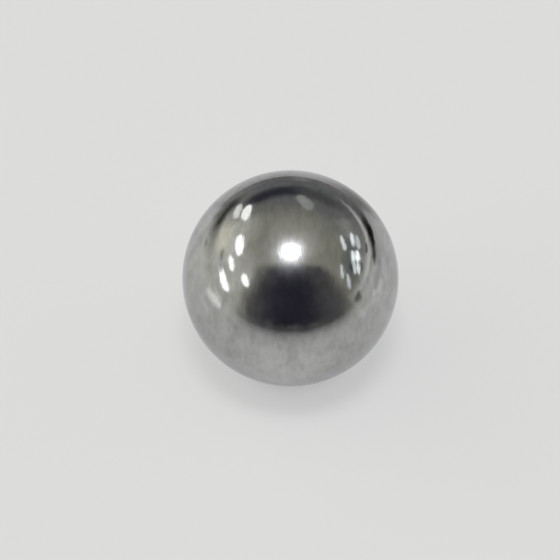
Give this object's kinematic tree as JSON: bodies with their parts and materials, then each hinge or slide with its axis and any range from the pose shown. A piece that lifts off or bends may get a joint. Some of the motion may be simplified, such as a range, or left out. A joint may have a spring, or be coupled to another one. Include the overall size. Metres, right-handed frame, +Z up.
{
  "type": "steel ball",
  "caption": "Solid polished steel ball with a mirror finish. It rolls in a race, seat or track, or serves as a small weight.",
  "frame": {"origin": "centre of the ball", "axes": "+Z up as the ball lies in the picture; a ball has no preferred direction, so any axis through the centre is a symmetry axis"},
  "size_m": [0.02, 0.02, 0.02],
  "materials": {
    "polished_steel": "polished"
  },
  "bodies": {
    "root": {"ball": "polished_steel"}
  },
  "joints": []
}
